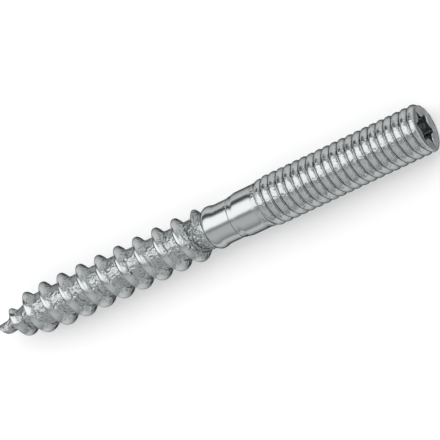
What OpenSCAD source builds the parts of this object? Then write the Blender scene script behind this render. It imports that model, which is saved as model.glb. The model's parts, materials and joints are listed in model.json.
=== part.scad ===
// Hanger bolt: a headless stud with a coarse wood thread and a blunt gimlet
// point at one end, and a metric machine thread with a hexalobular drive
// socket in its face at the other. It lies along X, point at -X, as it comes
// to rest on a table; Z is up and the origin is below the middle of the bolt.
// Distances called s run along the bolt from the point to the end face.

/* [Overall] */
// Length from the point to the end face
bolt_l = 40; // [36:0.5:60]

/* [Wood thread] */
// Length of the wood-threaded end, from the point to the shoulder
wood_l = 20.1; // [15:0.1:22]
// Diameter over the crests
wood_major_d = 4.1; // [3.7:0.02:4.5]
// Diameter of the core between two turns
wood_core_d = 2.82; // [2.4:0.02:3]
// Advance in one turn
wood_pitch = 1.82; // [1.5:0.01:2.2]
// Width of the ridge where it leaves the core
ridge_base_w = 1.02; // [0.7:0.02:1.2]
// Width of the crest
ridge_crest_w = 0.1; // [0.06:0.01:0.25]
// Length over which the last turn fades into the neck
ridge_fade_l = 0.6; // [0.3:0.1:1.3]

/* [Point] */
// Length of the blunt nib and the tapered core
point_l = 3.8; // [2.4:0.1:5]
// Length of the straight nib
nib_l = 0.7; // [0.4:0.1:1.3]
// Diameter of the nib
nib_d = 1; // [0.6:0.05:1.2]
// Height of the rounding on the nib's end
nib_round_h = 0.15; // [0.1:0.01:0.3]
// Distance by which one edge of the nib's end stands back from the other
nib_slant = 0.55; // [0:0.05:0.8]
// Distance by which the nib's end leans off the axis
nib_lean = 0.3; // [0:0.05:0.4]
// Length over which lean and slant fade
nib_lean_l = 1.3; // [1:0.1:2.6]
// Length over which the ridge grows to its full height
ridge_grow_l = 3.6; // [2.6:0.2:8]
// Share of its full height with which the ridge starts at the point
ridge_start_share = 0.2; // [0.1:0.05:0.6]

/* [Shank] */
// Diameter of the neck behind the last turn
neck_d = 2.93; // [2.7:0.01:3]
// Diameter over the rolled shoulder
shoulder_d = 3.48; // [3.3:0.02:3.6]
// Width of the rolled shoulder
shoulder_w = 1; // [0.6:0.1:1.5]
// Diameter of the waist between shoulder and shank
waist_d = 3.25; // [3.1:0.01:3.28]
// Length of the waist
waist_l = 1.5; // [0.7:0.1:2.6]
// Length of the cone from waist to shank
cone_l = 0.5; // [0.3:0.1:1]
// Diameter of the plain shank
shank_d = 3.58; // [3.5:0.02:3.7]
// Length of the plain shank
shank_l = 2.5; // [1.3:0.1:4]

/* [Machine thread] */
// Nominal diameter, over the crests
machine_d = 4; // [3.8:0.02:4.2]
// Length of the run-in cone from the shank to the full diameter
machine_runin_l = 0.6; // [0.4:0.1:1.3]
// Length of the bevel round the end face
end_bevel_l = 0.15; // [0.1:0.05:0.5]
// Diameter of the end face inside the bevel
end_face_d = 3.7; // [3.3:0.05:3.8]

/* [Drive socket] */
// Distance over two opposite points of the six-pointed socket
socket_point_d = 2.46; // [2.3:0.02:2.6]
// Distance over two opposite lobes between the points
socket_lobe_d = 1.76; // [1.7:0.01:1.82]
// Radius of each point
socket_point_r = 0.19; // [0.16:0.01:0.22]
// Depth of the straight wall
socket_depth = 1.5; // [1:0.1:2.5]
// Depth of the drill cone below the straight wall
socket_cone_h = 0.3; // [0.2:0.1:0.5]

/* [Hidden] */

// Facets round the bolt for the helical surface, and along one arc
turn_steps = 30;
arc_steps = 6;

wood_core_r = wood_core_d / 2;
ridge_half_w = ridge_base_w / 2;
crest_half_w = ridge_crest_w / 2;
// The bolt rests on the flats between the vertices of its widest crests
axis_z = max(wood_major_d / 2 * cos(180 / turn_steps), machine_d / 2);

// Stations along the bolt
waist_s = wood_l + shoulder_w;
cone_s = waist_s + waist_l;
shank_s = cone_s + cone_l;
runin_s = shank_s + shank_l;
machine_s = runin_s + machine_runin_l;

// Where the crest stands, one turn ahead of the point, and its angle there
first_crest_s = 0.43 - wood_pitch;
first_crest_a = 180;
// Before the point's rim, the helical surface winds into the rounded end
nose_span = wood_pitch + ridge_base_w;
// The slanted end is set back so that its foremost place stands at s = 0
lift_edge = min(nib_slant / 2, 2 * nib_round_h);
nib_lift = lift_edge - lift_edge * lift_edge / (4 * nib_round_h);
// Angle of one socket point from the upright
socket_a = 35;

function clamp01(t) = min(1, max(0, t));

// Ridge section: offsets from the crest and shares of the ridge's height
ridge_section = [
    [-ridge_half_w, 0],
    [-(ridge_half_w + crest_half_w) / 2, 0.42],
    [-crest_half_w, 1],
    [crest_half_w, 1],
    [(ridge_half_w + crest_half_w) / 2, 0.42],
    [ridge_half_w, 0]
];
section_n = len(ridge_section);

// Core radius: the nib, the taper, the straight core, then the wider neck
function core_r(s) =
    let(taper = clamp01((s - nib_l) / (point_l - nib_l)),
        neck = clamp01((s - wood_l + 2 * ridge_fade_l) / ridge_fade_l))
    nib_d / 2 + (wood_core_r - nib_d / 2) * taper
        + (neck_d / 2 - wood_core_r) * neck;

// Share of the ridge's full height that stands at station s
function ridge_share(s) =
    min(1, ridge_start_share + (1 - ridge_start_share) * s / ridge_grow_l)
        * clamp01((wood_l - 0.1 - s) / ridge_fade_l);

// Point of the helical surface: row i round the bolt, j across the ridge
function wood_point(i, j) =
    let(a = first_crest_a + 360 * i / turn_steps,
        along = first_crest_s - nib_round_h + wood_pitch * i / turn_steps
            + ridge_section[j][0],
        nose = clamp01(1 + along / nose_span),
        s = along < 0 ? nib_round_h * nose * nose : nib_round_h + along,
        core = core_r(s),
        full_ridge = wood_major_d / 2 - max(core, wood_core_r),
        r = along < 0 ? nib_d / 2 * nose
            : core + full_ridge * ridge_share(s) * ridge_section[j][1])
    leaning([s, r * cos(a), r * sin(a)], 1 - clamp01(along / nib_lean_l));

// A point of the nib moved by a share of the lean and slant
function leaning(p, share) =
    let(back = clamp01(0.5 - p[1] / nib_d))
    [p[0] + share * (nib_slant * back - nib_lift), p[1] - share * nib_lean, p[2]];

// Rows until the surface ends inside the shank
wood_rows = ceil(turn_steps
    * (wood_l + 0.3 + ridge_half_w - first_crest_s) / wood_pitch);

// Index of a vertex; past the ridge's last point comes the next turn's first
function wood_id(i, j) = j < section_n ? i * section_n + j
    : (i + turn_steps) * section_n;

// Wood thread, core and point as one closed helical surface
module wood_end() {
    last = wood_rows;
    grid = [for (i = [0 : last + turn_steps]) for (j = [0 : section_n - 1])
        wood_point(i, j)];
    tip = len(grid);
    root = tip + 1;
    polyhedron(
        points = concat(grid, [leaning([0, 0, 0], 1), [wood_l + 1, 0, 0]]),
        faces = concat(
            [for (i = [0 : last - 1]) for (j = [0 : section_n - 1])
                for (t = [[wood_id(i, j), wood_id(i, j + 1), wood_id(i + 1, j + 1)],
                          [wood_id(i, j), wood_id(i + 1, j + 1), wood_id(i + 1, j)]]) t],
            [for (i = [0 : turn_steps - 1]) [tip, wood_id(i, 0), wood_id(i + 1, 0)]],
            [for (j = [0 : section_n - 1]) [tip, wood_id(0, j + 1), wood_id(0, j)]],
            [for (i = [last : last + turn_steps - 1])
                [root, wood_id(i + 1, 0), wood_id(i, 0)]],
            [for (j = [0 : section_n - 1]) [root, wood_id(last, j), wood_id(last, j + 1)]]
        ),
        convexity = 20);
}

// Shank and machine end, turned in one profile of [radius, station]
module shank_and_machine_end() {
    shoulder = [for (k = [0 : arc_steps])
        let(a = 180 * k / arc_steps)
        [waist_d / 2 + (shoulder_d - waist_d) / 2 * sin(a),
         wood_l + 0.1 + (shoulder_w - 0.1) * (1 - cos(a)) / 2]];
    rotate([0, 90, 0]) rotate_extrude($fn = 96) polygon(concat(
        [[0, wood_l], [neck_d / 2 + 0.03, wood_l]],
        shoulder,
        [[waist_d / 2, cone_s],
         [shank_d / 2, shank_s],
         [shank_d / 2, runin_s],
         [machine_d / 2, machine_s],
         [machine_d / 2, bolt_l - end_bevel_l],
         [end_face_d / 2, bolt_l],
         [0, bolt_l]]));
}

// Six-pointed socket outline: arcs of the points and of the lobes, tangent
module socket_outline() {
    point_c = socket_point_d / 2 - socket_point_r;
    half_lobe = socket_lobe_d / 2;
    lobe_r = (point_c * point_c + half_lobe * half_lobe
        - sqrt(3) * point_c * half_lobe - socket_point_r * socket_point_r)
        / (sqrt(3) * point_c + 2 * socket_point_r - 2 * half_lobe);
    lobe_c = half_lobe + lobe_r;
    // direction from a point's centre to the next lobe's centre
    join_a = atan2(lobe_c * sin(30), lobe_c * cos(30) - point_c);
    polygon([for (k = [0 : 5]) each concat(
        [for (t = [0 : arc_steps])
            let(a = 60 * k - join_a + 2 * join_a * t / arc_steps)
            [point_c * cos(60 * k) + socket_point_r * cos(a),
             point_c * sin(60 * k) + socket_point_r * sin(a)]],
        [for (t = [1 : arc_steps - 1])
            let(half = 30 - join_a + 180,
                a = 60 * k + join_a + 180
                    + 2 * (30 - join_a) * t / arc_steps)
            [lobe_c * cos(60 * k + 30) + lobe_r * cos(a),
             lobe_c * sin(60 * k + 30) + lobe_r * sin(a)]])]);
}

// Straight-walled socket with a drill cone at its bottom
module drive_socket() {
    translate([bolt_l - socket_depth, 0, 0]) rotate([0, 90, 0]) rotate(socket_a)
        linear_extrude(socket_depth + 1) socket_outline();
    translate([bolt_l - socket_depth - socket_cone_h, 0, 0]) rotate([0, 90, 0])
        cylinder(r1 = 0.15, r2 = socket_lobe_d / 2 - 0.03,
            h = socket_cone_h + 0.01, $fn = 48);
}

module hanger_bolt() {
    color("silver") translate([-bolt_l / 2, 0, axis_z]) {
        difference() {
            shank_and_machine_end();
            drive_socket();
        }
        wood_end();
    }
}

hanger_bolt();
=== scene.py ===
"""Looks of a hanger bolt: a headless stud with a wood thread, a machine thread and a drive socket.

One surface stands for the whole bolt. It is a grid of two parameters: the row, which winds round the
bolt in a helix, and the place across one turn. The advance of a turn changes along the bolt, from the
pitch of the wood thread to that of the machine thread, so the crests of both lie on lines of the grid.
Lengths are in metres. Distances called "station" run along the bolt, from its point. The angle round
the bolt is 0 on its near side, which is -Y, and grows towards its underside.
"""
import json
import math

import bpy
import numpy as np
from bpy.props import FloatProperty, FloatVectorProperty, IntProperty, PointerProperty, StringProperty
from bpy.types import Operator, Panel, PropertyGroup
from mathutils import Matrix, Vector


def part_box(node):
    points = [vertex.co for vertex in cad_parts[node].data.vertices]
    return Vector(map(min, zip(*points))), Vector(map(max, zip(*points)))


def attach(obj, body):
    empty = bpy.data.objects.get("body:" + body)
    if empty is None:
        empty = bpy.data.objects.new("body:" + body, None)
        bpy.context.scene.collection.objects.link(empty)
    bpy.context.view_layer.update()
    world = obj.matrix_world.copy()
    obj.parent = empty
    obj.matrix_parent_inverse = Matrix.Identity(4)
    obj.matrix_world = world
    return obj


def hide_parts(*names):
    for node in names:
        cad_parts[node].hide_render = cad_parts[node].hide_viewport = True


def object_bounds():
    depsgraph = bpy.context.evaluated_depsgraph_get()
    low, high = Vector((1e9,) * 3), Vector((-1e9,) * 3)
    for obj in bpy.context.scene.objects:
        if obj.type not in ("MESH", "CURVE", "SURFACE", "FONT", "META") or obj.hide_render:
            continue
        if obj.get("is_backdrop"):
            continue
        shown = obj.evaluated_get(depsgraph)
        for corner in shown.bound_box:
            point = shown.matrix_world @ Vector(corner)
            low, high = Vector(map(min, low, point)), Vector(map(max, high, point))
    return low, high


bl_info = {
    "name": "Hanger Bolt",
    "version": (1, 0, 0),
    "blender": (4, 5, 0),
    "location": "View3D > Sidebar > Hanger Bolt",
    "description": "Builds a zinc-plated hanger bolt on its table, with lamp and camera",
    "category": "Object",
}

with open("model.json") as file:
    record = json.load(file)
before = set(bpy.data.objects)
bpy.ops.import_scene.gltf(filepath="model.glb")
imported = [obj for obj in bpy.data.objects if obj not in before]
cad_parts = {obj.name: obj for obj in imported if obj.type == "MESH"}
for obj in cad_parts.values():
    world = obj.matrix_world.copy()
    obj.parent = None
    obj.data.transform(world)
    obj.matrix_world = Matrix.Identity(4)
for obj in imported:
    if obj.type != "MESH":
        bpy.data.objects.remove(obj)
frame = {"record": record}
CAD_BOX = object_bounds()
MM = 0.001

NODE = "hanger_bolt"
BOLT_LOW, BOLT_HIGH = (Vector(corner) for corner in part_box(NODE))
BOLT_LENGTH = BOLT_HIGH.x - BOLT_LOW.x
MACHINE_END = next(m for m in frame["record"]["mounts"] if m["name"] == "machine_end")
AXIS_HEIGHT = MACHINE_END["pos_m"][2]
MACHINE_RADIUS = MACHINE_END["dims"]["r_mm"] * MM

# How far the crest of the wood thread's profile stays above the table, and that of the machine
# thread's profile inside the cylinder of the machine end
WOOD_CLEARANCE = 0.002 * MM
MACHINE_CLEARANCE = 0.01 * MM


def size(name, description, millimetres):
    """A length that the sidebar shows, given in millimetres and kept in metres."""
    return FloatProperty(
        name=name, description=description, default=millimetres * MM, min=0.0, precision=3, unit="LENGTH")


def angle_size(name, description, degrees):
    """An angle that the sidebar shows, given in degrees and kept in radians."""
    return FloatProperty(name=name, description=description, default=math.radians(degrees), subtype="ANGLE")


class HangerBoltSizes(PropertyGroup):
    """Sizes of the bolt, and stations along it."""

    wood_length: size("Wood end", "From the point to the neck's end", 20.1)
    wood_pitch: size("Wood pitch", "Advance of the wood thread in one turn", 1.822)
    wood_core: size("Wood core", "Diameter between two turns of the wood thread", 2.82)
    ridge_front: size("Ridge front", "Width of the ridge's steep side, towards the point", 0.31)
    front_rounding: size("Front rounding", "Rounding of the steep side next to the crest", 0.03)
    ridge_back: size("Ridge back", "Width of the ridge's gentle side", 0.40)
    back_rounding: size("Back rounding", "Rounding of the gentle side next to the crest", 0.24)
    ridge_end: size("Ridge end", "How far past the wood end the ridge is gone", 0.05)
    ridge_fade: size("Ridge fade", "Length over which the ridge runs out", 0.7)
    fade_shift: size("Fade shift", "How much sooner the ridge runs out on its far side", 0.07)

    first_crest: size("First crest", "Station of the first crest on the near side", 0.44)
    turn_shift: size("Turn shift", "How much further back the first turns lie on the far side", 0.17)
    taper_end: size("Taper end", "Station where the core is straight", 3.8)
    nib_length: size("Nib length", "Length of the straight nib", 0.9)
    nib_width: size("Nib width", "Diameter of the nib", 0.94)
    nib_rounding: size("Nib rounding", "Height of the rounding on the nib's end", 0.12)
    nib_slant: size("Nib slant", "Distance by which one edge of the nib's end stands back", 0.6)
    nib_lean: size("Nib lean", "Distance by which the nib's end leans off the axis", 0.14)
    nib_lean_length: size("Lean length", "Length over which lean and slant fade", 1.6)

    neck: size("Neck", "Diameter of the neck behind the last turn", 2.93)
    neck_growth: size("Neck growth", "How far before the wood end the core starts to widen", 1.2)
    neck_length: size("Neck length", "Length of the even neck, up to the wood end", 0.35)
    shoulder: size("Shoulder", "Diameter over the rolled shoulder", 3.47)
    shoulder_start: size("Shoulder start", "How far past the wood end the shoulder is full", 0.62)
    shoulder_end: size("Shoulder end", "How far past the wood end the shoulder falls off", 0.75)
    waist: size("Waist", "Diameter of the waist", 3.25)
    waist_start: size("Waist start", "How far past the wood end the waist is even", 1.3)
    shank: size("Shank", "Diameter of the plain shank", 3.58)
    cone_start: size("Cone start", "Station where the waist widens into the shank", 22.6)
    cone_end: size("Cone end", "Station where the plain shank starts", 23.5)

    pitch_change: size("Pitch change", "How far past the wood end the pitch starts to change", 1.0)
    run_in_start: size("Run-in start", "Station where the machine thread starts to rise", 25.0)
    run_in_end: size("Run-in end", "Station where the machine thread is full", 26.2)
    machine_pitch: size("Machine pitch", "Advance of the machine thread in one turn", 0.7)
    machine_phase: size("Machine phase", "Station of a crest on the near side, less whole turns", 0.095)
    machine_depth: size("Machine depth", "Depth of the machine thread", 0.22)

    rim: size("Rim", "Diameter of the rim that rolling raised round the end face", 3.66)
    rim_height: size("Rim height", "Height of the rim over the socket's mouth", 0.04)
    bevel: size("Bevel", "Length of the rounding outside the rim", 0.16)
    socket_points: size("Socket points", "Distance over two opposite points of the socket", 2.6)
    socket_lobes: size("Socket lobes", "Distance over two opposite lobes of the socket", 1.82)
    socket_point_radius: size("Point radius", "Radius of each point of the socket", 0.19)
    socket_lip: size("Socket lip", "Radius of the rounding round the socket's mouth", 0.07)
    socket_depth: size("Socket depth", "Depth of the socket's straight wall", 1.2)
    socket_cone: size("Socket cone", "Depth of the shallow cone below the wall", 0.3)
    socket_turn: angle_size("Socket turn", "Angle of one point of the socket from the near side", 9.5)

    turn_rows: IntProperty(name="Rows", description="Rows of the grid in one turn", default=84, min=12)


class HangerBoltFinish(PropertyGroup):
    """Colours and polish of the plating."""

    smooth_zinc: StringProperty(
        name="Smooth zinc", description="Colour of the burnished plating", default="#B5B8B9")
    root_zinc: StringProperty(
        name="Root zinc", description="Colour of the dull plating in pits of the skin", default="#6E7476")
    # near black, this tint is painted shade: the plating goes dark where it is seen at a glancing angle,
    # along its outline and on its underside
    edge: StringProperty(
        name="Edge", description="Tint of what the plating mirrors at a glancing angle", default="#0C0E10")
    polish: FloatProperty(
        name="Polish", description="Roughness of the burnished plating",
        default=0.2, min=0.0, max=1.0, subtype="FACTOR")
    torn: FloatProperty(
        name="Torn", description="Roughness of the plating where the skin is torn most",
        default=0.36, min=0.0, max=1.0, subtype="FACTOR")


class HangerBoltStage(PropertyGroup):
    """Camera, table and lamp."""

    tilt: angle_size("Tilt", "Angle by which the bolt's end leans towards the camera", 25.46)
    roll: angle_size("Roll", "Angle by which the bolt rises to the right in the frame", 25.50)
    distance: FloatProperty(
        name="Distance", description="From the lens to the middle of the bolt",
        default=0.32451, unit="LENGTH")
    lens: FloatProperty(name="Lens", description="Focal length", default=346.3, unit="CAMERA")
    offset: FloatVectorProperty(
        name="Offset", description="Where the middle of the bolt lies from the centre of the frame",
        size=2, default=(-0.000940, -0.000846), unit="LENGTH")
    table_width: FloatProperty(
        name="Table", description="Width of the square table", default=2.0, unit="LENGTH")
    table_white: StringProperty(
        name="Table white", description="Colour of the table's matt paper", default="#E4E4E4")
    table_glow: FloatProperty(
        name="Table glow", description="Light that the paper adds where it is seen", default=0.25)
    lamp_radiance: FloatProperty(name="Lamp", description="Radiance of the soft lamp", default=0.8)
    lamp_direction: FloatVectorProperty(
        name="Lamp direction", description="From the origin towards the lamp",
        size=3, default=(-0.12, 0.55, 0.785), subtype="DIRECTION")
    lamp_distance: FloatProperty(
        name="Lamp distance", description="From the lamp to the origin", default=0.40, unit="LENGTH")
    lamp_size: FloatVectorProperty(
        name="Lamp size", description="Length of the lamp along the bolt, and its width",
        size=2, default=(1.40, 0.40), unit="LENGTH")


def register():
    """Registers the classes and gives each scene the three groups of settings."""
    for cls in CLASSES:
        bpy.utils.register_class(cls)
    bpy.types.Scene.hanger_bolt_sizes = PointerProperty(type=HangerBoltSizes)
    bpy.types.Scene.hanger_bolt_finish = PointerProperty(type=HangerBoltFinish)
    bpy.types.Scene.hanger_bolt_stage = PointerProperty(type=HangerBoltStage)


def unregister():
    """Takes away what register added."""
    del bpy.types.Scene.hanger_bolt_stage
    del bpy.types.Scene.hanger_bolt_finish
    del bpy.types.Scene.hanger_bolt_sizes
    for cls in reversed(CLASSES):
        bpy.utils.unregister_class(cls)


# ---------------------------------------------------------------- surface

# Places across one turn, as parts of a turn from the crest: close together where a profile bends
PLACES = np.array([-0.5, -0.46, -0.42, -0.375, -0.32, -0.265, -0.21, -0.165, -0.13, -0.1, -0.075, -0.05,
                   -0.025, 0.0, 0.025, 0.05, 0.075, 0.1, 0.13, 0.165, 0.21, 0.265, 0.32, 0.375, 0.42, 0.46])
# Turns from the middle of the first or last row to the pole next to it: over half a turn, so that every
# place of the row lies short of the pole
MARGIN_TURNS = 0.52
# Turns between the pole of the blunt nib and its rim
NOSE_TURNS = 0.8
# Lengths of the path past the end face's rim: across the face, round the lip, down the wall, over the floor
END_PATHS = np.array([0.35, 0.17, 0.4, 0.7]) * MM

# Share of the ridge's full height over the station in millimetres, on the near side, where the angle
# is 0, and on the far side
NEAR_GROWTH = [(0.0, 0.05), (0.5, 0.12), (1.4, 0.55), (2.4, 0.86), (4.1, 0.70), (5.9, 0.90), (7.6, 0.96)]
FAR_GROWTH = [(-0.4, 0.2), (0.6, 0.45), (1.6, 0.9), (3.3, 1.0)]
# Groove and step at the foot of the cone, in millimetres: distance past its start, height over the waist
CONE_FOOT = [(0.1, -0.05), (0.25, 0.06), (0.35, 0.065)]


def smooth(zero, one, x):
    """Goes from 0 at x = zero to 1 at x = one, whichever is greater, by the cubic t * t * (3 - 2 t)."""
    t = np.clip((x - zero) / (one - zero), 0.0, 1.0)
    return t * t * (3 - 2 * t)


def eased(x, knots):
    """Passes through the (place, value) knots, by the smooth cubic from each to the next."""
    y = np.full_like(x, knots[0][1])
    for (x0, y0), (x1, y1) in zip(knots, knots[1:]):
        y = np.where(x > x0, y0 + (y1 - y0) * smooth(x0, x1, x), y)
    return y


def rounded_ridge(x, front, back):
    """A ridge of height 1 with its crest at x = 0, whose front is steep and whose back slopes gently.
    Front and back are pairs: width at the foot, and rounding. The height t falls by
    (sqrt(x * x + rounding * rounding) - rounding) / width. Then (t + sqrt(t * t + foot)) / 2, less a
    little, rounds the feet, and a division makes the crest 1 again."""
    foot, sink = 0.01, 0.002

    def height(v):
        width = np.where(v < 0, front[0], back[0])
        rounding = np.where(v < 0, front[1], back[1])
        t = 1 - (np.sqrt(v * v + rounding * rounding) - rounding) / width
        return 0.5 * (t + np.sqrt(t * t + foot)) - sink
    return height(x) / height(np.zeros(1))


def machine_profile(across):
    """Height of the machine thread, from 0 at the root to 1 at the crest, across one turn: 1 less the
    square of the distance from the crest in half turns, so the crest is round and the root narrow.
    Rolling leaves a fine seam along the middle of the crest: a dip with the form exp(-t * t)."""
    seam_depth, seam_width = 0.05, 0.03
    round_crest = 1 - (2 * np.abs(across)) ** 2
    return round_crest - seam_depth * np.exp(-((across / seam_width) ** 2))


def socket_outline(sizes):
    """Radius of the six-pointed socket over the angle from a point, as samples of one full turn, two in
    each degree: arcs round the points, tangent to arcs round the lobes between them."""
    point_radius = sizes.socket_point_radius
    point_centre = sizes.socket_points / 2 - point_radius
    half = sizes.socket_lobes / 2
    lobe_radius = ((point_centre ** 2 + half ** 2 - math.sqrt(3) * point_centre * half - point_radius ** 2)
                   / (math.sqrt(3) * point_centre + 2 * point_radius - 2 * half))
    lobe_centre = half + lobe_radius
    angle = np.radians(np.linspace(0, 360, 721))
    near_point = np.abs((angle + np.pi / 6) % (np.pi / 3) - np.pi / 6)
    near_lobe = np.pi / 6 - near_point
    with np.errstate(invalid="ignore"):
        on_point = point_centre * np.cos(near_point) + np.sqrt(
            point_radius ** 2 - (point_centre * np.sin(near_point)) ** 2)
        on_lobe = lobe_centre * np.cos(near_lobe) - np.sqrt(
            lobe_radius ** 2 - (lobe_centre * np.sin(near_lobe)) ** 2)
    share = point_radius / (point_radius + lobe_radius)
    join_x = point_centre + share * (lobe_centre * math.cos(math.pi / 6) - point_centre)
    join_y = share * lobe_centre * math.sin(math.pi / 6)
    return angle, np.where(near_point < math.atan2(join_y, join_x), on_point, on_lobe)


def pitch_change(sizes):
    """Where the pitch changes from that of the wood thread to that of the machine thread: the turn and
    station at which that starts, and those at which it ends. It ends near the start of the machine
    thread, after so many turns that the crests there have their phase."""
    wood, machine = sizes.wood_pitch, sizes.machine_pitch
    start = sizes.wood_length + sizes.pitch_change
    first_turn = (start - sizes.first_crest) / wood
    mean = (wood + machine) / 2
    turns = (sizes.run_in_start - start) / mean
    lead = start + turns * mean - (first_turn + turns) * machine
    slip = (sizes.machine_phase - lead + machine / 2) % machine - machine / 2
    turns += slip / (mean - machine)
    return first_turn, start, first_turn + turns, start + turns * mean


def bolt_surface(sizes):
    """Stations, radii, angles and rawness of the whole bolt, as four arrays of rows by places.

    The row gives the angle, and row / rows in a turn + place gives the number of turns, from which
    comes the path, the distance along the outline of the bolt. The path advances by the wood pitch a
    turn, and last by the machine pitch. At the share t of the change between them it has gone on by
    the turns of the change times (wood * t + (machine - wood) * t * t / 2). Up to the end face the path
    is the station. Past it, the path crosses the face, goes down the wall of the socket and over its
    floor to the axis. Before the nib's rim it crosses the blunt end, a shallow bowl whose depth goes
    with the square of the radius."""
    wood, machine, rows = sizes.wood_pitch, sizes.machine_pitch, sizes.turn_rows
    first_turn, change_start, last_turn, change_end = pitch_change(sizes)
    rim = sizes.nib_rounding
    nose_start = rim - NOSE_TURNS * wood
    path_end = BOLT_LENGTH + END_PATHS.sum()
    first = math.floor(((nose_start - sizes.first_crest) / wood + MARGIN_TURNS) * rows)
    last = math.floor((last_turn + (path_end - change_end) / machine - MARGIN_TURNS) * rows)
    row, across = np.broadcast_arrays(np.arange(first, last + rows + 1)[:, None], PLACES)
    angle = 2 * np.pi * row / rows
    turns = row / rows + across
    t = np.clip((turns - first_turn) / (last_turn - first_turn), 0.0, 1.0)
    changing = (last_turn - first_turn) * (wood * t + (machine - wood) * t * t / 2)
    path = np.where(turns < first_turn, sizes.first_crest + wood * turns,
                    change_start + changing + machine * np.maximum(turns - last_turn, 0))

    # the blunt end keeps the ridge that its rim has at the same angle
    before = path < rim
    rim_across = ((rim - sizes.first_crest) / wood - angle / (2 * np.pi) + 0.5) % 1.0 - 0.5
    station = np.clip(path, rim, BOLT_LENGTH)
    radius = body_radius(sizes, station, np.where(before, rim_across, across), angle)
    radius = np.minimum(radius, bevel_radius(sizes, station))
    raw = rawness(sizes, station, across)
    station = station + back_shift(sizes, station, angle)

    nose = np.clip((path - nose_start) / (NOSE_TURNS * wood), 0.0, 1.0)
    station = np.where(before, rim * nose ** 2, station)
    radius = np.where(before, radius * nose, radius)
    station, radius = cross_end(sizes, path - BOLT_LENGTH, angle, station, radius)
    return station, radius, angle, raw


def body_radius(sizes, station, across, angle):
    """Radius of the bolt before bevel_radius limits it: a tapered core and turned shank, plus the ridge's
    height times its share, and over the run-in the share of the machine thread grows from 0 to 1. The
    ridge grows later on the near side, and its second turn is low there, as on a blank that lies off
    the middle of the rolling dies."""
    core, nib, neck, shoulder, waist, shank = (width / 2 for width in (
        sizes.wood_core, sizes.nib_width, sizes.neck, sizes.shoulder, sizes.waist, sizes.shank))
    wood_end = sizes.wood_length
    plain = eased(station, [
        (wood_end - sizes.neck_growth, core),
        (wood_end - sizes.neck_length, neck), (wood_end, neck),
        (wood_end + sizes.shoulder_start, shoulder), (wood_end + sizes.shoulder_end, shoulder),
        (wood_end + sizes.waist_start, waist), (sizes.cone_start, waist),
        *((sizes.cone_start + past * MM, waist + height * MM) for past, height in CONE_FOOT),
        (sizes.cone_end, shank)])
    taper = np.clip((station - sizes.nib_length) / (sizes.taper_end - sizes.nib_length), 0, 1)
    plain = np.where(station < sizes.taper_end, nib + (core - nib) * taper, plain)

    near_side = (1 + np.cos(angle)) / 2
    near = eased(station / MM, NEAR_GROWTH)
    far = eased(station / MM, FAR_GROWTH)
    ridge_end = wood_end + sizes.ridge_end
    share = far + (near - far) * near_side
    shifted = station + sizes.fade_shift * (1 - near_side)
    share = share * smooth(ridge_end, ridge_end - sizes.ridge_fade, shifted)
    ridge = rounded_ridge(across * sizes.wood_pitch, (sizes.ridge_front, sizes.front_rounding),
                          (sizes.ridge_back, sizes.back_rounding))
    radius = plain + (AXIS_HEIGHT - WOOD_CLEARANCE - core) * share * ridge

    run_in = smooth(sizes.run_in_start, sizes.run_in_end, station)
    full = MACHINE_RADIUS - MACHINE_CLEARANCE - sizes.machine_depth * (1 - machine_profile(across))
    return np.where(station > sizes.run_in_start, radius + (full - radius) * run_in, radius)


def bevel_radius(sizes, station):
    """Greatest radius at a station: that of the machine end, which also cuts the wood thread's crests to
    a narrow flat, and in the rounding at the end a quarter of an ellipse from the face's rim outwards."""
    inside = np.clip(1 - (BOLT_LENGTH - station) / sizes.bevel, 0, 1)
    return sizes.rim / 2 + (MACHINE_RADIUS - sizes.rim / 2) * np.sqrt(1 - inside ** 2)


def rawness(sizes, station, across):
    """How raw the rolled skin is: 0 on the burnished crests and shank, 1 between the crests of the wood
    thread, more where it is torn, which is on the nib and beside the neck, and a little on the machine
    thread. Each of these fades smoothly between two stations, and the sum is taken."""
    torn, machine_raw = 1.3, 0.3
    wood_end, run_in = sizes.wood_length, sizes.run_in_start
    off_crest = smooth(0.12, 0.26, np.abs(across))
    on_wood_thread = smooth(wood_end + 0.2 * MM, wood_end - 0.2 * MM, station)
    on_nib = smooth(1.5 * MM, 0.9 * MM, station)
    before_neck = smooth(wood_end - 1.6 * MM, wood_end - 0.9 * MM, station)
    beside_neck = before_neck * smooth(wood_end + 0.3 * MM, wood_end, station)
    on_machine_thread = smooth(run_in - 0.1 * MM, run_in + 0.2 * MM, station)
    raw = off_crest * on_wood_thread
    raw = raw + (torn - raw) * on_nib
    return raw + torn * beside_neck + machine_raw * on_machine_thread


def back_shift(sizes, station, angle):
    """Distance by which the first turns lie further back on the far side: it follows (1 - cos(angle)) / 2
    round the bolt, grows behind the nib and fades along the next turns."""
    behind_nib = smooth(0.6 * MM, 1.5 * MM, station)
    first_turns = smooth(6.0 * MM, 3.4 * MM, station)
    return sizes.turn_shift * (1 - np.cos(angle)) / 2 * behind_nib * first_turns


def cross_end(sizes, over, angle, station, radius):
    """Carries station and radius on past the end face's rim, by the distance over along the path: the
    face falls over the first 0.8 of its width, the lip turns in a quarter of a circle, the wall goes
    straight down, and the floor is a shallow cone that closes on the axis."""
    starts = np.cumsum(END_PATHS) - END_PATHS
    on_face, on_lip, on_wall, on_floor = (
        np.clip((over - start) / path, 0, 1) for start, path in zip(starts, END_PATHS))
    lip = sizes.socket_lip
    hole = np.interp((angle - sizes.socket_turn) % (2 * np.pi), *socket_outline(sizes))
    radius = radius + (hole + lip - radius) * on_face
    radius = radius - lip * np.sin(on_lip * np.pi / 2)
    station = station - sizes.rim_height * smooth(0, 0.8, on_face)
    station = station - lip * (1 - np.cos(on_lip * np.pi / 2))
    station = station - (sizes.socket_depth - lip) * on_wall - sizes.socket_cone * on_floor
    return station, radius * (1 - on_floor)


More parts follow.
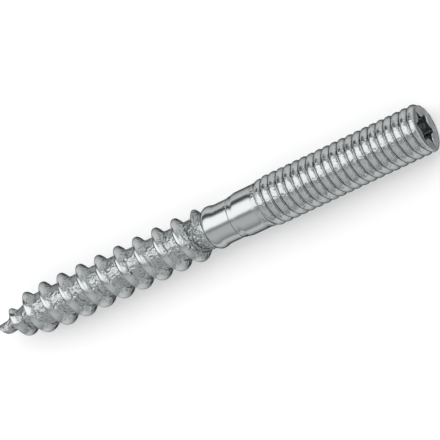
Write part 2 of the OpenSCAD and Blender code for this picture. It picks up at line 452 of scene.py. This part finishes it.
def lean_nib(sizes, station, sideways):
    """Leans the nib to one side and slants its end: both shares are 1 at its rim and fall evenly to 0
    over the lean length. The slant is greatest at the side to which the nib leans. The lift brings the
    foremost place of the slanted bowl back to about station 0."""
    share = np.clip(1 - (station - sizes.nib_rounding) / sizes.nib_lean_length, 0, 1)
    back = np.clip(0.5 - sideways / sizes.nib_width, 0, 1)
    edge = min(sizes.nib_slant / 2, 2 * sizes.nib_rounding)
    lift = edge - edge * edge / (4 * sizes.nib_rounding)
    return station + share * (sizes.nib_slant * back - lift), sideways - share * sizes.nib_lean


def helical_mesh(grid, rows, first_centre, last_centre):
    """Vertices and triangles of a closed surface from a grid of rows, places and coordinates whose row
    winds round a helix: the place past the last one of a row is the first place of the row one turn
    on. Each end is closed by a fan round a centre. A quad is cut along its shorter diagonal. Any
    numbers past the three coordinates go with their vertex."""
    total, places = grid.shape[:2]
    last = total - rows - 1
    number = np.arange(total * places).reshape(total, places)
    number[last + 1:, 0] = (last + 1) * places + np.arange(rows)
    joined = np.concatenate([number[:last + 1], number[rows:, :1]], axis=1)
    vertices = np.concatenate([grid[:last + 1].reshape(-1, grid.shape[2]), grid[last + 1:, 0],
                               [first_centre, last_centre]])
    a, b, c, d = joined[:-1, :-1], joined[1:, :-1], joined[1:, 1:], joined[:-1, 1:]
    at = vertices[:, :3]
    short = (np.linalg.norm(at[a] - at[c], axis=-1) < np.linalg.norm(at[b] - at[d], axis=-1))[..., None]
    one = np.where(short, np.stack([a, b, c], axis=-1), np.stack([a, b, d], axis=-1))
    two = np.where(short, np.stack([a, c, d], axis=-1), np.stack([b, c, d], axis=-1))
    fans = []
    for start, centre, step in ((0, len(vertices) - 2, -1), (last, len(vertices) - 1, 1)):
        edge = np.concatenate([number[start:start + rows + 1, 0], joined[start, places - 1:0:-1]])[::step]
        fans.append(np.stack([np.full(len(edge), centre), edge, np.roll(edge, -1)], axis=-1))
    return vertices, np.concatenate([one.reshape(-1, 3), two.reshape(-1, 3), *fans])


def mesh_object(name, vertices, triangles, material, raw):
    """A smooth mesh object at the origin, from an array of places in metres and an array of triangles.
    Raw is a number per vertex for the material: 0 where the skin is burnished, 1 where the dies left
    it raw, and more where it is torn."""
    mesh = bpy.data.meshes.new(name)
    mesh.from_pydata(vertices, [], triangles)
    mesh.polygons.foreach_set("use_smooth", np.ones(len(mesh.polygons), dtype=bool))
    mesh.materials.append(material)
    mesh.attributes.new("raw", "FLOAT", "POINT").data.foreach_set("value", raw)
    mesh.update()
    piece = bpy.data.objects.new(name, mesh)
    bpy.context.scene.collection.objects.link(piece)
    return piece


# ---------------------------------------------------------------- materials

def linear(code):
    """Linear red, green, blue and alpha of an sRGB hex colour, by the curve of the sRGB standard."""
    part = np.array([int(code[i:i + 2], 16) for i in (1, 3, 5)]) / 255
    part = np.where(part <= 0.04045, part / 12.92, ((part + 0.055) / 1.055) ** 2.4)
    return (*part.tolist(), 1.0)


def add_node(tree, kind, inputs=None, **settings):
    """Adds a node with its settings; each input is a plain value or the socket that it is linked to."""
    node = tree.nodes.new(kind)
    for key, value in settings.items():
        setattr(node, key, value)
    for key, value in (inputs or {}).items():
        if isinstance(value, bpy.types.NodeSocket):
            tree.links.new(value, node.inputs[key])
        else:
            node.inputs[key].default_value = value
    return node


def new_material(name):
    """An empty node material and its output node."""
    material = bpy.data.materials.new(name)
    material.use_nodes = True
    material.node_tree.nodes.clear()
    output = add_node(material.node_tree, "ShaderNodeOutputMaterial")
    return material, output


def zinc_plated_steel(finish):
    """Bright zinc on cold-rolled steel: a cool grey metal that mirrors softly where rolling burnished
    it, and is dull, lumpy and mottled in the roots, where the dies never touched it."""
    material, output = new_material("zinc_plated_steel_rolled")
    tree = material.node_tree
    place = add_node(tree, "ShaderNodeTexCoord").outputs["Object"]
    raw = add_node(tree, "ShaderNodeAttribute", attribute_name="raw").outputs["Fac"]

    # lumps of the unrolled skin: 3.8 to a millimetre, and at most 0.12 mm high where raw is 1
    lumps = add_node(tree, "ShaderNodeTexNoise", {
        "Vector": place, "Scale": 3.8 / MM, "Detail": 1.0, "Roughness": 0.5})
    lumps = add_node(tree, "ShaderNodeMath", {0: lumps.outputs["Fac"], 1: raw}, operation="MULTIPLY")
    skin = add_node(tree, "ShaderNodeBump", {
        "Height": lumps.outputs[0], "Strength": 1.0, "Distance": 0.12 * MM})
    # crystals of the zinc are a few thousandths of a millimetre wide, and too fine to show: drawn as 9 to
    # a millimetre
    grain = add_node(tree, "ShaderNodeTexNoise", {
        "Vector": place, "Scale": 9.0 / MM, "Detail": 2.0, "Roughness": 0.6})
    bump = add_node(tree, "ShaderNodeBump", {
        "Height": grain.outputs["Fac"], "Strength": 0.25, "Distance": 0.02 * MM,
        "Normal": skin.outputs["Normal"]})

    # raw skin goes a fifth of the way to the dull colour, and all the way in its pits, 5.2 to a millimetre
    pits = add_node(tree, "ShaderNodeTexNoise", {
        "Vector": place, "Scale": 5.2 / MM, "Detail": 2.0, "Roughness": 0.6})
    pits = add_node(tree, "ShaderNodeMapRange", {
        "Value": pits.outputs["Fac"], "From Min": 0.54, "From Max": 0.7, "To Min": 0.2})
    pits = add_node(tree, "ShaderNodeMath", {0: pits.outputs["Result"], 1: raw},
                    operation="MULTIPLY", use_clamp=True)
    colour = add_node(tree, "ShaderNodeMix", {
        0: pits.outputs[0], 6: linear(finish.smooth_zinc), 7: linear(finish.root_zinc)}, data_type="RGBA")
    rough = add_node(tree, "ShaderNodeMapRange", {
        "Value": raw, "From Max": 2.0, "To Min": finish.polish, "To Max": finish.torn})
    # the near-black glancing tint paints shade along the bolt's outline and underside
    shader = add_node(tree, "ShaderNodeBsdfPrincipled", {
        "Base Color": colour.outputs[2], "Metallic": 1.0, "Roughness": rough.outputs["Result"],
        "Specular Tint": linear(finish.edge), "Normal": bump.outputs["Normal"]})
    tree.links.new(shader.outputs["BSDF"], output.inputs["Surface"])
    return material


def white_card(settings):
    """Matt white paper that stays white in the frame and keeps the bolt's soft shadow: rays from the
    camera, and those that a shiny or clear surface sends on, see it glow a little."""
    material, output = new_material("white_paper_table")
    tree = material.node_tree
    paper = add_node(tree, "ShaderNodeBsdfDiffuse", {"Color": linear(settings.table_white)})
    glow = add_node(tree, "ShaderNodeEmission", {
        "Color": linear("#FFFFFF"), "Strength": settings.table_glow})
    both = add_node(tree, "ShaderNodeAddShader", {0: paper.outputs["BSDF"], 1: glow.outputs["Emission"]})
    ray = add_node(tree, "ShaderNodeLightPath")
    seen = ray.outputs["Is Camera Ray"]
    for kind in ("Is Glossy Ray", "Is Transmission Ray"):
        either = add_node(tree, "ShaderNodeMath", {0: seen, 1: ray.outputs[kind]}, operation="MAXIMUM")
        seen = either.outputs[0]
    mix = add_node(tree, "ShaderNodeMixShader", {
        0: seen, 1: paper.outputs["BSDF"], 2: both.outputs["Shader"]})
    tree.links.new(mix.outputs["Shader"], output.inputs["Surface"])
    return material


# ---------------------------------------------------------------- operators

class HANGERBOLT_OT_bolt(Operator):
    """Build the bolt as one closed helical surface and let it ride on the frame"""

    bl_idname = "hanger_bolt.bolt"
    bl_label = "Bolt"

    def execute(self, context):
        sizes = context.scene.hanger_bolt_sizes
        station, radius, angle, raw = bolt_surface(sizes)
        along, sideways = lean_nib(sizes, station, -radius * np.cos(angle))
        grid = np.stack([BOLT_LOW.x + along, sideways, AXIS_HEIGHT - radius * np.sin(angle), raw], axis=-1)
        pole, pole_side = lean_nib(sizes, 0.0, 0.0)
        socket_floor = BOLT_HIGH.x - sizes.rim_height - sizes.socket_depth - sizes.socket_cone
        vertices, triangles = helical_mesh(
            grid, sizes.turn_rows, (BOLT_LOW.x + pole, pole_side, AXIS_HEIGHT, 1.0),
            (socket_floor, 0.0, AXIS_HEIGHT, 0.0))
        piece = mesh_object("bolt", vertices[:, :3], triangles,
                            zinc_plated_steel(context.scene.hanger_bolt_finish), vertices[:, 3])
        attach(piece, "root")
        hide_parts(NODE)
        return {"FINISHED"}


class HANGERBOLT_OT_stage(Operator):
    """Lay the white table, set the lamp and the room round it, and place the camera"""

    bl_idname = "hanger_bolt.stage"
    bl_label = "Stage"

    def execute(self, context):
        settings = context.scene.hanger_bolt_stage
        bpy.ops.mesh.primitive_plane_add(size=settings.table_width, location=(0, 0, 0))
        floor = context.object
        floor.name = "table"
        floor.data.materials.append(white_card(settings))
        floor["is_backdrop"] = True
        place_camera(context, settings)
        place_lamp(context, settings)
        context.scene.world = grey_room()
        context.scene.view_settings.view_transform = "Standard"
        return {"FINISHED"}


def place_camera(context, settings):
    """The camera looks down on the bolt, leaning towards its machine end, and is rolled so that the
    bolt rises to the right. Its three axes come from turning the bolt's by the tilt, then the roll."""
    along, side = Vector((1, 0, 0)), Vector((0, -1, 0))
    tilt, roll = settings.tilt, settings.roll
    back = math.sin(tilt) * along + Vector((0, 0, math.cos(tilt)))
    level = math.cos(tilt) * along - Vector((0, 0, math.sin(tilt)))
    right = math.cos(roll) * level + math.sin(roll) * side
    up = math.sin(roll) * level - math.cos(roll) * side
    middle = Vector(((BOLT_LOW.x + BOLT_HIGH.x) / 2, 0, AXIS_HEIGHT))
    target = middle - settings.offset[0] * right - settings.offset[1] * up
    camera = bpy.data.objects.new("camera", bpy.data.cameras.new("camera"))
    camera.data.lens = settings.lens
    camera.data.sensor_width = 36.0
    camera.data.clip_start = 10 * MM
    camera.matrix_world = Matrix.Translation(target + settings.distance * back) @ Matrix(
        (right, up, back)).transposed().to_4x4()
    context.scene.collection.objects.link(camera)
    context.scene.camera = camera


def place_lamp(context, settings):
    """One broad soft lamp above the +Y side of the bolt, lying along it and facing the origin. Its
    power is its radiance times pi times its area."""
    length, width = settings.lamp_size
    lamp_data = bpy.data.lights.new("soft_box", "AREA")
    lamp_data.shape = "RECTANGLE"
    lamp_data.size, lamp_data.size_y = length, width
    lamp_data.energy = settings.lamp_radiance * math.pi * length * width
    back = Vector(settings.lamp_direction).normalized()
    across = back.cross(Vector((1, 0, 0))).normalized()
    along = across.cross(back)
    lamp = bpy.data.objects.new("soft_box", lamp_data)
    lamp.matrix_world = Matrix.Translation(settings.lamp_distance * back) @ Matrix(
        (along, across, back)).transposed().to_4x4()
    context.scene.collection.objects.link(lamp)


def grey_room():
    """A world of greys that depend on the angle round the bolt, with changes past its two ends."""
    world = bpy.data.worlds.new("studio")
    world.use_nodes = True
    tree = world.node_tree
    background = tree.nodes["Background"]
    toward = add_node(tree, "ShaderNodeTexCoord").outputs["Generated"]
    part = add_node(tree, "ShaderNodeSeparateXYZ", {"Vector": toward})

    # angle round the bolt from straight up, positive on the lamp's side; half a turn each way is 0 to 1
    turn = add_node(tree, "ShaderNodeMath", {0: part.outputs["Y"], 1: part.outputs["Z"]},
                    operation="ARCTAN2")
    turn = add_node(tree, "ShaderNodeMapRange", {
        "Value": turn.outputs[0], "From Min": -math.pi, "From Max": math.pi})
    ramp = add_node(tree, "ShaderNodeValToRGB", {"Fac": turn.outputs["Result"]})
    # (degrees, grey): light away from the lamp, dull straight up, brightest round the lamp, dark below it
    stops = [(-180, 0.45), (-90, 0.3), (-62, 0.72), (-45, 0.84), (-16, 0.80), (-6, 0.35), (2, 0.35),
             (7, 1.1), (56, 1.1), (68, 0.07), (110, 0.07), (180, 0.45)]
    elements = ramp.color_ramp.elements
    while len(elements) < len(stops):
        elements.new(0.5)
    for element, (degrees, grey) in zip(elements, stops):
        element.position = degrees / 360 + 0.5
        element.color = (grey, grey, grey, 1.0)

    # from one value to another between two X of the direction: a little lighter past the machine end,
    # dark straight past the point, and lighter low on the lamp's side past the machine end
    ends = []
    for from_x, to_x, from_value, to_value in (
            (0.0, 0.9, 1.0, 1.1), (-1.0, -0.985, 0.3, 1.0), (0.15, 0.5, 0.0, 0.8)):
        end = add_node(tree, "ShaderNodeMapRange", {
            "Value": part.outputs["X"], "From Min": from_x, "From Max": to_x, "To Min": from_value,
            "To Max": to_value})
        ends.append(end.outputs["Result"])
    lighter, darker, low_light = ends
    low_light = add_node(tree, "ShaderNodeMath", {0: low_light, 1: part.outputs["Y"]}, operation="MULTIPLY")
    grey = add_node(tree, "ShaderNodeMath", {0: ramp.outputs["Color"], 1: low_light.outputs[0]},
                    operation="MAXIMUM")
    strength = add_node(tree, "ShaderNodeMath", {0: lighter, 1: darker}, operation="MULTIPLY")
    tree.links.new(grey.outputs[0], background.inputs["Color"])
    tree.links.new(strength.outputs[0], background.inputs["Strength"])
    return world


class HANGERBOLT_PT_build(Panel):
    """Lists the pieces and the stage"""

    bl_idname = "HANGERBOLT_PT_build"
    bl_label = "Hanger Bolt"
    bl_space_type = "VIEW_3D"
    bl_region_type = "UI"
    bl_category = "Hanger Bolt"

    def draw(self, context):
        layout = self.layout
        for group in ("hanger_bolt_sizes", "hanger_bolt_finish", "hanger_bolt_stage"):
            settings = getattr(context.scene, group)
            box = layout.box()
            for name in settings.__annotations__:
                box.prop(settings, name)
        layout.operator(HANGERBOLT_OT_bolt.bl_idname)
        layout.operator(HANGERBOLT_OT_stage.bl_idname)


CLASSES = (HangerBoltSizes, HangerBoltFinish, HangerBoltStage, HANGERBOLT_OT_bolt, HANGERBOLT_OT_stage,
           HANGERBOLT_PT_build)


def main():
    """Builds the bolt and its stage."""
    register()
    bpy.ops.hanger_bolt.bolt()
    bpy.ops.hanger_bolt.stage()
    boxes = {"cad": CAD_BOX, "visual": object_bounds()}
    boxes = {name: [[float(x) for x in corner] for corner in box] for name, box in boxes.items()}


if __name__ == "__main__":
    main()
